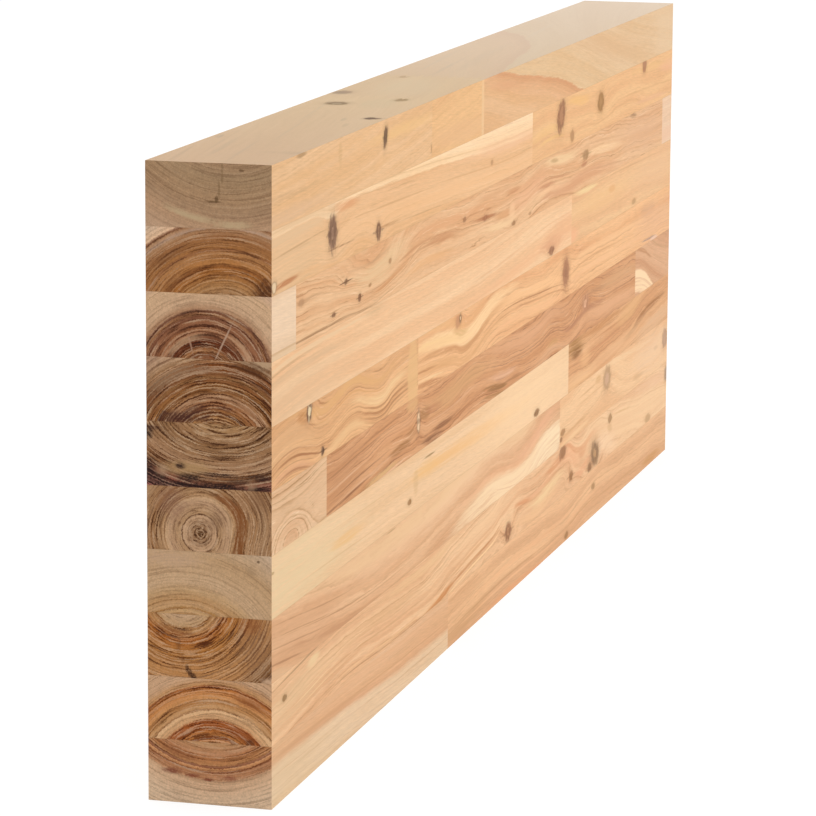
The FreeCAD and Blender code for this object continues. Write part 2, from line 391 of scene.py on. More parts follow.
def board(name, pith, pale, tan, line, seed, ring=2.6, wave=2.5, contrast=0.35, oval=1.0,
          layers=None, end=((0, "#b48c60"), (120, "#b48c60")), end_contrast=0.7, lean=0.0,
          top=None, flow=((0, 0), (BEAM_LENGTH, 0)),
          side_streaks=(), top_streaks=(), end_streaks=(), knots=()):
    """Gives a board its timber.

    pith is (across, height) of the heart of its log and lean how far that moves across
    in each millimetre, flow the height of the grain along the beam, end the colours of
    its end grain from the heart outwards. Streaks and knots are placed by station,
    distance in and height. top is a painted sheen on the upper faces: the tint, near end
    and far end, that faces looking up are mixed towards, greyer as light glancing off
    the top makes them look.
    """
    material = bpy.data.materials.new("timber " + name.replace("_", " "))
    material.use_nodes = True
    tree = material.node_tree
    tree.nodes.clear()
    place = scale(tree, put(tree, "TexCoord").outputs["Object"], 1000.0)
    parts = put(tree, "SeparateXYZ", place).outputs
    station = level(tree, parts[0], -600.0, 600.0, 0.0, 1.0)
    curve = put(tree, "FloatCurve", None, station)
    curve.inputs[0].default_value = 1.0
    points = curve.mapping.curves[0].points
    while len(points) < len(flow):
        points.new(0.5, 0.5)
    for point, (s, height) in zip(points, flow):
        point.location = (s / BEAM_LENGTH, 0.5 + height / 200)
    curve.mapping.update()
    rise = level(tree, curve.outputs[0], 0.0, 1.0, -100.0, 100.0)
    aside = times(tree, plus(tree, parts[0], BEAM_LENGTH / 2), lean)
    grain = move(tree, "SUBTRACT", place, put(tree, "CombineXYZ", None, aside, rise).outputs[0])
    swell = 0.0
    shapes = []
    for knot in knots:
        spec = dict(face="side", core="#b98d68", core_size=0.0, strength=0.9, push=5.0, tail=2.5,
                    tail_strength=0.0, slant=0.0, halo=0.25)
        spec.update(knot)
        s, across, z = spec["at"]
        face = {"side": (0, -1, 0), "top": (0, 0, 1)}[spec["face"]]
        outward = Vector((0, across - pith[0] - lean * s, z - pith[1] - grain_height(flow, s)))
        square = outward.dot(Vector(face))
        axis = outward / square if square > LEAST_ACROSS else Vector(face)
        if axis.length > MOST_SLANTED:
            axis = Vector(face)
        half = (spec["size"][0] / 2, spec["size"][1] / 2, spec["size"][1] / 2)
        shape = use(tree, knot_shape, Place=place, Centre=spot(s, across, z), Axis=axis, Face=face,
                    Size=half, Depth=KNOT_DEPTH, Slant=spec["slant"])
        swell = use(tree, swelling, Swell=swell, Flat=shape["Flat"], Push=spec["push"],
                    Inside=shape["Inside"])[0]
        shapes.append((spec, shape))
    wood = use(tree, rings, Place=place, Grain=grain, Pith=spot(0, pith[0], pith[1]), Oval=oval,
               Swell=swell, Ring_width=ring, Wave=wave, Seed=float(seed))
    pale_wood, tan_wood = paint(pale), paint(tan)
    if layers:
        pale_wood = layered(tree, plus(tree, wood["Radius"], wood["Fray"]), layers)
        tan_wood = blend(tree, 1.0, pale_wood, (0.95, 0.89, 0.81, 1), "MULTIPLY")
    end_wood = layered(tree, plus(tree, wood["Radius"], times(tree, wood["Fray"], 0.5)), end)
    grown = {key: wood[key] for key in ("Tone", "Late", "Early", "Hair", "Fibre", "Pores", "End")}
    color = use(tree, timber, **grown, Pale=pale_wood, Tan=tan_wood, Line=paint(line),
                Contrast=contrast, End_wood=end_wood, End_contrast=end_contrast)[0]
    streaks = [side_streak(*mark) for mark in side_streaks]
    streaks += [top_streak(*mark) for mark in top_streaks]
    streaks += [end_streak(*mark) for mark in end_streaks]
    for at, size, shown, strength, soft, years, on_end, turn in streaks:
        s, across, z = at
        color = use(tree, streak, Color=color, Grain=grain,
                    Centre=spot(s, across - lean * s, z - grain_height(flow, s)), Size=size,
                    Fray=wood["Fray"], Streak=paint(shown), Strength=strength, Soft=soft,
                    Radius=wood["Radius"], Inner=years[0], Outer=years[1], End=wood["End"],
                    On_end=on_end, Hair=wood["Hair"], Turn=turn)[0]
    up = put(tree, "SeparateXYZ", put(tree, "NewGeometry").outputs["Normal"]).outputs[2]
    # Painted sheen: faces that look up are mixed towards the top tint, greyer as light glancing
    # off the top makes them look.
    if top:
        color = blend(tree, ramp(tree, up, 0.4, 0.6, 0.0, 0.7), color,
                      blend(tree, station, paint(top[0]), paint(top[1])))
    if shapes:
        check = ramp(tree, cloud(tree, place, 0.55, 0.08, 3.0, 0.6), -0.2, 0.7)
    for spec, shape in shapes:
        color = use(tree, knot_wood, Color=color, Distance=shape["Distance"], Flat=shape["Flat"],
                    Fray=wood["Fray"], Ragged=wood["Ragged"], Check=check,
                    Knot=paint(spec["color"]), Core=paint(spec["core"]),
                    Core_size=max(spec["core_size"], 0.001), Strength=spec["strength"],
                    Tail=spec["tail"], Tail_strength=spec["tail_strength"], Halo=spec["halo"])[0]
    seam = calc(tree, "PINGPONG", parts[2], LAMELLA / 2)
    seam = ramp(tree, seam, 0.35, 0.1, 0.0, GLUE_LINE_SHOWS)
    seam = times(tree, seam, ramp(tree, calc(tree, "ABSOLUTE", up), 0.9, 0.5))
    color = blend(tree, seam, color, paint(GLUE_LINE))
    shader = tree.nodes.new("ShaderNodeBsdfPrincipled")
    shader.inputs["Roughness"].default_value = PLANED_ROUGHNESS
    shader.inputs["Specular IOR Level"].default_value = PLANED_SHEEN
    tree.links.new(color, shader.inputs["Base Color"])
    output = tree.nodes.new("ShaderNodeOutputMaterial")
    tree.links.new(shader.outputs[0], output.inputs[0])
    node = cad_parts[name]
    node.data.materials.clear()
    node.data.materials.append(material)


# Lamella 1, the top one
# Three boards of plain tan timber. Their heart is above the beam at the near end, and at
# the far end the sapwood comes down across the side face.
def far_end(first, last, colours):
    """End grain that the photo doesn't show, from the first ring of the face to the last."""
    return [(first + (last - first) * part, colour)
            for part, colour in zip((0, 0.2, 0.38, 0.5, 0.66, 1), colours)]


SAND_RINGS = ("#b98f66", "#a3764c", "#c29c72", "#ad8258", "#c8a67e", "#bd9870")
# The top tints of these boards are painted sheen, the greyer look of light glancing off the beam's
# top face.
board("lamella_01_board_1", pith=(26, 457), lean=0.12, seed=1, ring=3.2, wave=1.5, contrast=0.3,
      end_contrast=0.48, pale="#eabe8f", tan="#e5b582", line="#cfa06c",
      top=("#c7ab8e", "#e8daad"),
      end=((57, "#b48e6b"), (66, "#b5936f"), (72, "#b08d69"), (80, "#b9936e"), (88, "#b38e6c"),
           (96, "#c69d79"), (111, "#d0aa8a")),
      flow=((0, 0), (120, -1), (375, -1), (1200, -1)),
      side_streaks=[
          (300, 389, 90, 4, "#efc285", 0.6), (20, 378, 70, 2, "#c9a074", 0.5),
          (40, 366, 100, 5, "#dcb48e", 0.5), (148, 389, 4, 7, "#d2a571", 0.6),
          (62, 399, 9, 1.6, "#a98358", 0.7)],
      top_streaks=[
          (80, 56, 40, 2, "#bf9c74", 0.6), (40, 70, 40, 0.9, "#b7946e", 0.6),
          (60, 38, 60, 1.0, "#c4a07a", 0.6), (110, 66, 60, 0.9, "#c2a07c", 0.5),
          (190, 44, 70, 0.9, "#c8a680", 0.5), (300, 60, 70, 0.9, "#c9a986", 0.5),
          (215, 16, 9, 1.6, "#9c7d54", 0.8), (246, 26, 9, 1.6, "#a58660", 0.8),
          (132, 75, 8, 2, "#9c8466", 0.7), (345, 30, 30, 12, "#cfb285", 0.5)],
      end_streaks=[
          (54, 367, 17, 7, "#cfb28a", 0.85, 0.6, (91, 95)),
          (24, 362, 10, 4, "#cfb28a", 0.8, 0.6, (92, 96)),
          (31.2, 394, 0.7, 7, "#8b6d4c", 0.6, 0.4), (33.2, 384, 0.7, 5, "#8b6d4c", 0.6, 0.4),
          (34.8, 378, 1.2, 2, "#684b2f", 0.8, 0.4), (37, 376.4, 5, 0.7, "#684b2f", 0.7, 0.4),
          (19, 396, 1.6, 0.7, "#684b2f", 0.7, 0.4)],
      knots=[
          side_knot(255, 388.5, 10, 15, "#5f4228", core="#9a7450", push=3, tail=1.8,
                    tail_strength=0.3, slant=0.25),
          side_knot(376, 367, 8, 6, "#b37f4d", strength=0.6, push=2),
          top_knot(257, 11, 11, 8, "#57412a", push=2),
          top_knot(337, 57, 19, 16, "#82663f", core="#a08a68", core_size=0.6, push=4),
          top_knot(371, 21, 17, 9, "#947848", push=3, strength=0.8)])
board("lamella_01_board_2", pith=(26, 457), lean=0.12, seed=2, ring=3.4, contrast=0.3,
      pale="#ebbb85", tan="#e5b27e", line="#d2a065", top=("#cab392", "#d9c7a8"),
      flow=((0, 0), (375, 0), (521, -3), (1200, -3)),
      side_streaks=[
          (450, 370, 90, 7, "#e6b686", 0.6), (518, 380, 4, 30, "#ecc697", 0.7, 0.4)],
      top_streaks=[
          (455, 40, 60, 20, "#e6cda6", 0.4)],
      knots=[
          top_knot(405, 73, 22, 13, "#97816a", push=3, strength=0.8),
          top_knot(520, 60, 14, 6, "#b79672", push=1, strength=0.6)])
board("lamella_01_board_3", pith=(24.8, 325.5), lean=0.071, seed=3, ring=3.2, wave=0.8,
      contrast=0.16, pale="#e6b88a", tan="#e1ae81", line="#cf9c6c", top=("#bea67f", "#e6d5c2"),
      layers=((60, "#e6b98b"), (88, "#e6b889"), (94.5, "#e3b184"), (97, "#dba578"),
              (99.2, "#d99f71"), (100, "#e5c398"), (128, "#e3c097")),
      end=far_end(89.7, 166.1, SAND_RINGS),
      flow=((0, 0), (521, 4), (575, 0), (650, -5), (700, -6.5), (750, -8), (800, -13), (850, -19),
            (1000, -38), (1200, -50)),
      side_streaks=[
          (580, 389, 40, 3, "#dda377", 0.6), (930, 386, 120, 9, "#dcb388", 0.6, 0.8),
          (1180, 385, 60, 40, "#e6c7a2", 0.5, 0.6)],
      top_streaks=[
          (660, 40, 130, 5, "#cfa67c", 0.5), (600, 48, 80, 1.6, "#c39f7c", 0.6),
          (640, 66, 90, 1.4, "#d2b192", 0.6), (900, 50, 150, 2.0, "#dcbf9f", 0.6)])

# Lamella 2
# Two boards. The near one is heartwood inside with a strip of pale sapwood along its top.
HONEY_RINGS = ("#c99f76", "#a8703f", "#b57f4e", "#95602f", "#c79a6c", "#cfac86")
board("lamella_02_board_1", pith=(29.6, 297), oval=0.88, seed=4, ring=3.0, wave=1.2,
      contrast=0.35, end_contrast=0.72, pale="#eec192", tan="#e9b686", line="#c79762",
      layers=((20, "#edbf8f"), (53, "#ecbd8d"), (59.6, "#ecbc8c"), (61, "#fcd9ad"),
              (70, "#ffdcb2")),
      end=((20, "#af8259"), (27, "#c28b55"), (33, "#b2733a"), (36.4, "#b27034"),
           (37.4, "#9e6131"), (39, "#c18147"), (46, "#ba814f"), (47.5, "#a36b42"),
           (49, "#b27743"), (56, "#a97246"), (60, "#bc8b62"), (61, "#bd987e"), (63.6, "#cb976b"),
           (64.2, "#8e5e40"), (65.4, "#b27f5f"), (66, "#f8cca4"), (76, "#dbbda1")),
      flow=((0, 3), (60, 5), (110, 6.5), (250, 4.5), (400, 0.5), (500, -3.5), (600, -6.5),
            (673, -6.5), (1200, -6.5)),
      side_streaks=[
          (50, 356, 90, 7, "#e6bf94", 0.75, 0.35), (600, 345, 110, 5, "#f2c298", 0.7),
          (160, 355, 28, 3.2, "#de9c6a", 0.7), (450, 330, 300, 5, "#f3c08c", 0.6, 0.8),
          (30, 335, 90, 20, "#dfbb90", 0.5, 0.8), (60, 344, 60, 0.59, "#b98d60", 0.6),
          (250, 343, 110, 0.59, "#cf9c6a", 0.6), (540, 335, 130, 0.59, "#d9a370", 0.6),
          (150, 330, 26, 0.59, "#a67448", 0.7), (265, 329, 26, 0.91, "#b9824f", 0.7),
          (330, 326, 70, 0.52, "#c08f5e", 0.6), (28, 324.5, 26, 1.8, "#b9713f", 0.8)],
      end_streaks=[
          (60, 325, 16, 7, "#744627", 0.5, 0.6, (36, 42)),
          (66, 342, 14, 9, "#744627", 0.45, 0.6, (50, 55)), (2, 323, 9, 7, "#502b18", 0.85, 0.6)],
      knots=[
          side_knot(131, 341, 20, 25, "#6e4a34", core="#a88266", core_size=0.35, push=7, tail=1.7,
                    tail_strength=0.5),
          side_knot(239, 328, 12, 13, "#70492f", core="#a9805c", core_size=0.5, push=5, tail=3.0,
                    tail_strength=0.5),
          side_knot(5, 325, 10, 8, "#5c3a26", core="#e8cba4", core_size=1.1, push=2),
          side_knot(546, 337, 8, 4, "#bd8a58", strength=0.7, push=2)])
board("lamella_02_board_2", pith=(26, 290), seed=5, ring=3.8, wave=4, contrast=0.35,
      pale="#edbd88", tan="#e7b27f", line="#cf9a66",
      end=far_end(39.1, 95.7, HONEY_RINGS),
      flow=((0, 0), (673, 0), (740, 3), (800, -2), (850, -6), (950, -4), (1200, -9)),
      side_streaks=[
          (722, 340, 46, 3.4, "#f0c283", 0.6), (735, 333, 40, 1.4, "#efc27f", 0.6),
          (830, 353, 40, 4, "#f0bd78", 0.7), (1180, 348, 35, 5, "#ecb48c", 0.7),
          (1110, 352, 70, 3, "#eabb80", 0.6), (1100, 335, 110, 0.91, "#d9a774", 0.6),
          (1110, 325, 60, 2, "#e8b48a", 0.6)],
      knots=[
          side_knot(769, 347, 28, 27, "#90603e", core="#ae7a54", core_size=0.6, push=8,
                    slant=0.35, strength=0.9),
          side_knot(808, 327, 13, 10, "#b08150", push=4, strength=0.8),
          side_knot(911, 343, 24, 18, "#a0733f", core="#b0824e", core_size=0.6, push=6,
                    strength=0.95),
          side_knot(1082, 356, 18, 12, "#a26b49", push=4, strength=0.85)])

# Lamella 3
# A short board of sapwood with a dark heart, a long lively board full of small knots and
# a short pale one at the far end.
board("lamella_03_board_1", pith=(42, 268), oval=0.97, seed=6, ring=2.5, wave=1.0, contrast=0.15,
      end_contrast=0.88, pale="#f0d0ae", tan="#ebc8a4", line="#dcb88c",
      end=((8, "#ad7c61"), (13, "#915935"), (15, "#784222"), (17, "#b47a4c"), (20.5, "#773d1a"),
           (24, "#6f3416"), (28.8, "#b77f5a"), (31, "#a26843"), (33, "#955f40"), (35, "#a36c4a"),
           (38, "#855137"), (39.5, "#af7951"), (41.6, "#764530"), (43, "#bd8d68"),
           (47, "#ddb48e"), (59, "#e4bb92"), (66, "#dcb496")),
      flow=((0, 0), (1200, 0)),
      side_streaks=[
          (20, 284, 60, 0.78, "#cfa67a", 0.7), (20, 281, 60, 2.4, "#e0bd92", 0.6)],
      end_streaks=[
          (62, 290, 18, 8, "#d2a780", 0.6, 0.6, (24, 28)),
          (16, 290, 10, 12, "#d2a780", 0.5, 0.6, (29, 32)),
          (30.5, 291, 0.55, 13, "#c8a48a", 0.8, 0.4, EVERY_RING, 25.6),
          (51.5, 289, 0.55, 6, "#c09478", 0.7, 0.4, EVERY_RING, -14)])
board("lamella_03_board_2", pith=(30, 250), seed=7, ring=3.0, wave=5, contrast=0.7,
      pale="#ecbf91", tan="#e0aa7a", line="#bd8250",
      flow=((0, 0), (150, 0), (225, -2), (300, 6), (350, 10), (420, 8), (520, 6), (600, 3),
            (640, 4), (720, 10), (800, 6), (870, 8), (960, 4), (1100, -4), (1200, -6)),
      side_streaks=[
          (75, 306.5, 26, 1.6, "#cd9f74", 0.7), (250, 304, 55, 8, "#efd0a2", 0.6, 0.6),
          (250, 290, 60, 1.0, "#cf925e", 0.7), (340, 304, 56, 1.1, "#c98f60", 0.7),
          (350, 301, 50, 0.8, "#c98f60", 0.7), (410, 300.5, 40, 3.0, "#cb8f60", 0.65),
          (420, 310, 110, 3, "#e3a878", 0.6), (370, 290, 60, 2.5, "#e9b27c", 0.7),
          (500, 305.5, 50, 0.65, "#cc9060", 0.7), (535, 298.2, 34, 1.6, "#b57446", 0.8),
          (585, 294, 26, 3.2, "#d89f6c", 0.8), (570, 287, 40, 2.4, "#f5cf9e", 0.7),
          (610, 293, 9, 6, "#f6cb9c", 0.7), (560, 312, 60, 2.2, "#d9a071", 0.5),
          (617, 308, 18, 2, "#cb8c5c", 0.8), (665, 300, 60, 8, "#eab085", 0.6, 0.8),
          (722, 298, 26, 2, "#c88a60", 0.7), (745, 301, 60, 0.85, "#cf9468", 0.7),
          (735, 293, 50, 1.8, "#f7c898", 0.8), (765, 287, 60, 2.4, "#d59a70", 0.7),
          (770, 313, 50, 4, "#f3cf9e", 0.7), (748, 314, 12, 1.6, "#c39a6a", 0.7),
          (925, 303, 75, 3, "#f8d0a0", 0.85), (865, 290, 110, 4.5, "#d89b70", 0.7, 0.7),
          (853, 299, 9, 2.4, "#c0835a", 0.8), (935, 310, 80, 0.91, "#d19c70", 0.6),
          (960, 287, 90, 0.78, "#cf9a70", 0.6), (1090, 300, 90, 16, "#dfb089", 0.6, 0.8),
          (1040, 318.5, 12, 2.6, "#a9805a", 0.8), (1065, 315, 26, 0.72, "#c9946c", 0.7),
          (110, 283, 130, 0.8, "#a87a50", 0.9), (215, 310, 50, 1.0, "#cda076", 0.6)],
      knots=[
          side_knot(162, 305.5, 7, 4, "#6e4724", tail=6.0, tail_strength=0.9, push=2),
          side_knot(134, 288.5, 9, 3.4, "#7d5330", tail=2.2, tail_strength=0.7, push=1),
          side_knot(194, 290.5, 8, 5.5, "#74481f", tail=3.0, tail_strength=0.6, push=2),
          side_knot(219, 295, 7, 2.4, "#a8763f", push=1, strength=0.8),
          side_knot(268, 304, 7, 4, "#ac7c4e", push=2, strength=0.7),
          side_knot(62, 307, 12, 5, "#b98a5f", push=2, strength=0.7),
          side_knot(467, 305.5, 9, 4, "#9f6c40", push=2, strength=0.85),
          side_knot(528, 298.5, 16, 4.4, "#a3643a", push=2, strength=0.85),
          side_knot(615, 283, 12, 3.6, "#9a6c3e", push=1, strength=0.8),
          side_knot(667, 283.5, 8, 2.4, "#b98658", push=1, strength=0.7),
          side_knot(240, 306, 50, 17, "#dcb383", push=16, strength=0.0),
          side_knot(858, 306, 22, 8.5, "#a87e50", tail=2.6, tail_strength=0.5, push=4,
                    strength=0.85)])
board("lamella_03_board_3", pith=(40, 275), seed=8, contrast=0.2, pale="#efcfb0", tan="#eac3a0",
      line="#dcb88c",
      end=far_end(5, 60.2, SAND_RINGS),
      side_streaks=[
          (1185, 287, 50, 7, "#ecc09e", 0.6)])

# Lamella 4
# Two boards of quiet pale timber, dark only in its heart.
UMBER_RINGS = ("#9c7048", "#80543a", "#ae825a", "#7b5036", "#b28c64", "#8c6040")
board("lamella_04_board_1", pith=(35, 223), oval=0.95, seed=9, ring=2.6, wave=1.5, contrast=0.25,
      end_contrast=1.20, pale="#f4ca9d", tan="#eebd8e", line="#d9aa7c",
      end=((15, "#936946"), (22, "#bf8753"), (23.4, "#764322"), (25, "#a26a3b"), (30, "#ad7247"),
           (31.4, "#ae7a53"), (34.6, "#b88863"), (36, "#b27d50"), (38, "#8b5629"),
           (42, "#aa713e"), (44.4, "#925b33"), (45.6, "#a17043"), (48, "#905c35"),
           (51, "#844b22"), (54, "#945627"), (57, "#ac7448"), (58.4, "#b1855d"), (71, "#cfa587")),
      flow=((0, 0), (60, 3), (300, 1), (520, 0), (640, 4), (720, 9), (800, 10), (1200, 10)),
      side_streaks=[
          (30, 272, 90, 0.85, "#c29a70", 0.7), (90, 276, 140, 1.6, "#efcda2", 0.6),
          (60, 268, 120, 2.5, "#d6af86", 0.5), (40, 250, 120, 14, "#e2bb92", 0.6, 0.8),
          (230, 277, 20, 4, "#c9a377", 0.4, 0.8), (640, 246, 150, 4.5, "#f0b889", 0.6, 0.8),
          (660, 262, 160, 0.78, "#e6ae80", 0.5), (740, 250, 32, 5.5, "#d79e76", 0.7, 0.6),
          (790, 254, 60, 10, "#ecb083", 0.5, 0.8)],
      end_streaks=[
          (66, 268, 22, 12, "#ac8968", 0.6, 0.6, (50, 57)), (6, 279, 7, 4, "#c9a682", 0.9, 0.4),
          (13, 274, 13, 6, "#593116", 0.8, 0.5, (53, 61)),
          (54, 247, 14, 6, "#522d21", 0.85, 0.5, (25, 31)),
          (64, 243, 14, 4, "#4d291f", 0.85, 0.5, (23, 40)),
          (46, 244, 7, 3, "#522d21", 0.8, 0.5, (18, 23)),
          (30, 251, 7, 3, "#5e3525", 0.7, 0.6, (26, 29))],
      knots=[
          side_knot(741, 244.5, 18, 7.5, "#996644", tail=1.9, tail_strength=0.5, push=5)])
board("lamella_04_board_2", pith=(32, 231), seed=10, contrast=0.25, pale="#eec18f", tan="#e7b383",
      line="#d3a06e",
      end=far_end(15, 73, UMBER_RINGS),
      flow=((0, 0), (810, 0), (900, -1), (1200, -6)),
      side_streaks=[
          (862, 277.5, 36, 2.4, "#f3d49c", 0.85), (920, 263, 90, 8, "#f0c188", 0.6, 0.7),
          (812, 247, 20, 6, "#f3b488", 0.7), (960, 266, 12, 3, "#e3a871", 0.6),
          (1000, 277, 160, 0.59, "#cd9a6c", 0.5), (1150, 262, 90, 14, "#e9bb90", 0.6, 0.8)],
      knots=[
          side_knot(1047, 244, 15, 5, "#bd9260", push=2, strength=0.7)])

# Lamella 5
# Two boards of orange tan timber with strong waves in the grain. Damp has stained the
# heart of the near one almost black.
RED_RINGS = ("#c79c76", "#a8653c", "#c99a6a", "#9a5c3a", "#c08a5c", "#d2ae88")
board("lamella_05_board_1", pith=(32, 251), oval=0.68, seed=11, ring=2.3, wave=1.5, contrast=0.68,
      end_contrast=1.10, pale="#ebb783", tan="#dda674", line="#b87e4c",
      end=((10, "#be9162"), (23, "#a77a53"), (24.5, "#996c44"), (26, "#a1764f"), (34, "#aa7d56"),
           (38, "#b78b66"), (43, "#a26f46"), (46, "#875a38"), (60, "#ae645e")),
      flow=((0, 0), (30, 4), (50, 4), (80, 0), (110, -4), (150, 0), (180, 3), (215, -3),
            (250, -7), (280, -2), (310, 0), (1200, 0)),
      side_streaks=[
          (40, 213.5, 50, 0.47, "#a86f44", 0.52), (40, 209.5, 52, 0.47, "#b17a50", 0.52),
          (40, 206, 56, 2.6, "#d99a7a", 0.35), (30, 203, 50, 0.42, "#a86f44", 0.45),
          (30, 226, 60, 9, "#deb182", 0.5, 0.8), (36, 217.5, 56, 0.7, "#ab7147", 0.75),
          (60, 211.5, 60, 0.6, "#a86f44", 0.8), (50, 204.5, 52, 0.8, "#ab7449", 0.75),
          (252, 210, 56, 0.7, "#b27a4c", 0.75), (258, 207.3, 62, 0.9, "#b4794a", 0.8),
          (262, 204.6, 54, 0.7, "#b27a4c", 0.75), (265, 202, 50, 0.62, "#b67c50", 0.45),
          (245, 215.5, 60, 3, "#f4cd98", 0.85), (160, 207, 50, 3, "#efc48f", 0.7),
          (150, 213, 46, 0.47, "#bb8352", 0.52), (190, 229, 90, 0.62, "#cf9250", 0.45),
          (160, 236, 120, 3.5, "#e9b678", 0.6), (66, 234, 12, 4, "#bd8048", 0.7),
          (328, 216, 13, 26, "#e8ba82", 0.8, 0.2)],
      end_streaks=[
          (54, 212, 14, 4, "#c79f6f", 0.7, 0.6), (79, 233, 3, 4, "#291612", 0.9, 0.5),
          (77, 236, 6, 1.4, "#48291f", 0.7, 0.6), (79, 208, 5, 8, "#291612", 0.9, 0.5),
          (72, 204, 5, 4, "#291612", 0.85, 0.5), (70, 210, 3, 3, "#c09b79", 0.6, 0.9),
          (58.5, 213, 3, 1.8, "#371f19", 0.9, 0.6), (53, 206, 7, 2.6, "#291612", 0.95, 0.6),
          (62, 201, 13, 2.2, "#291612", 0.95, 0.6), (36, 201, 20, 2.4, "#21100d", 0.95, 0.6),
          (34, 208.6, 12, 1.6, "#371f19", 0.9, 0.7, (41.5, 44.5)),
          (20, 205, 8, 1.3, "#482b1f", 0.8, 0.7), (6, 208, 7, 2.0, "#371f19", 0.85, 0.7),
          (7, 201, 8, 1.8, "#2e1913", 0.9, 0.6), (13, 203, 2.6, 2.2, "#c09775", 0.6, 0.9)],
      knots=[
          side_knot(80, 235.5, 13, 13, "#6b452b", core="#e9d3ac", core_size=0.62, push=5,
                    slant=0.2),
          side_knot(110, 205, 7, 6.5, "#4f2f18", tail=3.6, tail_strength=0.5, push=3)])
board("lamella_05_board_2", pith=(36, 268), seed=12, ring=3.0, wave=3, contrast=0.62,
      pale="#f1bd89", tan="#e5a976", line="#c4875a",
      end=far_end(16, 71.2, RED_RINGS),
      flow=((0, 0), (340, 0), (400, -3), (440, -7), (470, -12), (500, -10), (530, -4), (560, 1),
            (600, 3), (700, -1), (780, -6), (800, -10), (850, -6), (1000, -8), (1200, -12)),
      side_streaks=[
          (470, 220, 135, 6, "#fbd29e", 1.0, 0.4), (470, 211.5, 125, 2.6, "#cf9562", 0.8, 0.5),
          (450, 206, 110, 4, "#daa26c", 0.7, 0.6), (360, 214, 30, 0.91, "#c08250", 0.8),
          (370, 207, 36, 0.91, "#f6cf9c", 0.9), (372, 203, 40, 1.8, "#bb7c4c", 0.8),
          (690, 217.5, 130, 0.59, "#bb7f4e", 0.85), (690, 213.5, 130, 0.72, "#c98c5c", 0.75),
          (690, 223, 130, 3.6, "#f9c690", 0.7), (680, 207, 130, 2.6, "#f5bf8c", 0.7),
          (400, 228, 70, 3.2, "#f7cc92", 0.7), (430, 236, 90, 3, "#e9b47c", 0.6),
          (457, 226, 20, 2.4, "#d2a465", 0.6), (900, 219, 120, 0.72, "#cf9464", 0.6),
          (950, 225, 160, 2.6, "#f7c692", 0.6), (940, 211, 160, 2.2, "#f6c392", 0.6),
          (1105, 230, 26, 6, "#d9a67c", 0.7), (1150, 215, 80, 14, "#e6b48c", 0.6, 0.8),
          (1112, 203.2, 26, 0.98, "#a18078", 0.8), (1135, 200, 14, 2.4, "#ecc9b2", 0.9)],
      knots=[
          side_knot(451, 234, 16, 9, "#c08860", push=3, strength=0.7),
          side_knot(457.5, 235.5, 7, 7, "#8c6238", core="#f2d6ae", core_size=0.5, push=3),
          side_knot(792, 220, 22, 24, "#a06a48", core="#8f5a3e", core_size=0.5, push=8,
                    strength=0.75, halo=0.5, tail=1.8, tail_strength=0.3)])

# Lamella 6
# A short tan board with its pith in the middle, a long board of brown heartwood and a
# tan one at the far end with a wedge of sapwood.
board("lamella_06_board_1", pith=(45.5, 171.5), seed=13, ring=2.2, wave=0.4, contrast=0.95,
      end_contrast=1.08, pale="#ecc59c", tan="#e0b186", line="#b98c5e",
      end=((0, "#66401f"), (2, "#91643c"), (7, "#b9906c"), (11, "#d2a780"), (11.8, "#a57b59"),
           (13, "#c2976d"), (20, "#c99f7a"), (22.6, "#d8ae84"), (23.6, "#c29264"),
           (27, "#b98e65"), (32, "#a47348"), (33.6, "#c3966e"), (35, "#b28154"), (42, "#ba9069"),
           (55, "#a4703e")),
      flow=((0, 0), (60, 0), (119, 5), (1200, 5)),
      end_streaks=[
          (17, 174, 9, 20, "#885026", 0.85, 0.3, (25, 31.5)),
          (26, 190, 14, 9, "#90582f", 0.8, 0.4, (24.5, 29.5)),
          (64, 190, 8, 9, "#8a5f4b", 0.6, 0.7), (36, 180, 5, 6, "#977458", 0.5, 0.7),
          (10, 194, 12, 6, "#926746", 0.5, 0.7)],
      knots=[
          side_knot(41, 163, 20, 11, "#ddb084", push=15, strength=0.0)])
